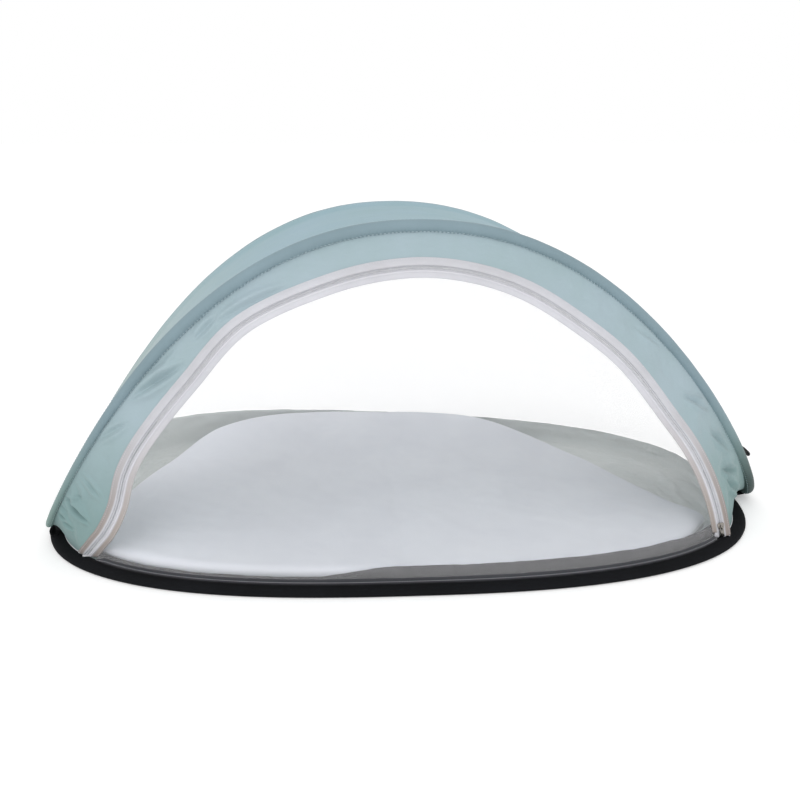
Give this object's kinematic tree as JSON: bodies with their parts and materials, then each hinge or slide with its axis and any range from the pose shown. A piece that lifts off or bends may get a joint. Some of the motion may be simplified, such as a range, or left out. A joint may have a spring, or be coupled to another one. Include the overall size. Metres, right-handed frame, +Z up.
{
  "type": "baby travel bed",
  "caption": "Pop-up baby travel bed: oval padded floor in a sprung steel edge, sea-green fabric roof arched over it on sprung wire, mesh rear wall and a zipped mesh door.",
  "frame": {"origin": "on the ground at the centre of the base oval, on the underside of the floor sheet", "axes": "+X to the right along the bed's length, +Y to the back, away from the zipped door, +Z up"},
  "size_m": [1.1332, 0.6365, 0.4777],
  "materials": {
    "roof_cloth": "coated polyester taffeta, matt",
    "band_cloth": "coated polyester taffeta, matt",
    "floor_cloth": "waterproof polyester, matt",
    "wall_cloth": "waterproof polyester, matt",
    "binding_tape": "woven black tape",
    "pad_cloth": "quilted microfibre",
    "wadding": "polyester wadding",
    "mesh_cloth": "fine white mosquito mesh",
    "zip_tape": "woven zip tape",
    "zip_coil": "nylon coil",
    "webbing": "black woven webbing",
    "spring_steel": "drawn spring steel",
    "nickel": "nickel plated zinc"
  },
  "bodies": {
    "bed": {"base_binding": "binding_tape", "base_wire": "spring_steel", "base_ferrule": "spring_steel", "floor_sheet": "floor_cloth", "floor_wall": "wall_cloth", "roof_sleeve": "roof_cloth", "roof_wire": "spring_steel", "roof_ferrule": "spring_steel", "roof_sheet": "roof_cloth", "webbing_tab": "webbing", "outer_zip_coil": "zip_coil", "outer_zip_tape": "zip_tape", "front_band": "band_cloth", "zip_stop": "zip_coil", "zip_tape_end": "zip_tape", "corner_zip_coil": "zip_coil", "corner_zip_tape": "zip_tape", "door_corner_hem": "webbing", "door_corner_mesh": "mesh_cloth", "rear_hem": "band_cloth", "rear_mesh": "mesh_cloth", "left_foot_patch": "roof_cloth", "right_foot_patch": "roof_cloth"},
    "pad": {"pad_filling": "wadding", "pad_top_cover": "pad_cloth", "pad_under_cover": "pad_cloth"},
    "door": {"door_mesh": "mesh_cloth", "door_hem": "webbing", "inner_zip_coil": "zip_coil", "inner_zip_tape": "zip_tape"},
    "slider": {"zip_slider": "nickel"},
    "pull": {"zip_pull": "nickel"}
  },
  "joints": [
    {"name": "door_fold", "type": "hinge", "parent": "bed", "child": "door", "pos_m": [0, -0.278, 0.0089], "axis": [1, 0, 0], "range_deg": [0, 100]},
    {"name": "slider_run", "type": "hinge", "parent": "bed", "child": "slider", "pos_m": [0.06026, -0.19029, -0.08464], "axis": [0.045, -0.999, 0], "range_deg": [0, 22]},
    {"name": "pull_flip", "type": "hinge", "parent": "slider", "child": "pull", "pos_m": [0.46491, -0.1751, 0.0269], "axis": [-0.9631, -0.0434, -0.2656], "range_deg": [0, 150]},
    {"name": "pad_lift", "type": "slide", "parent": "bed", "child": "pad", "axis": [0, 0, 1], "range_m": [0, 0.02]}
  ]
}
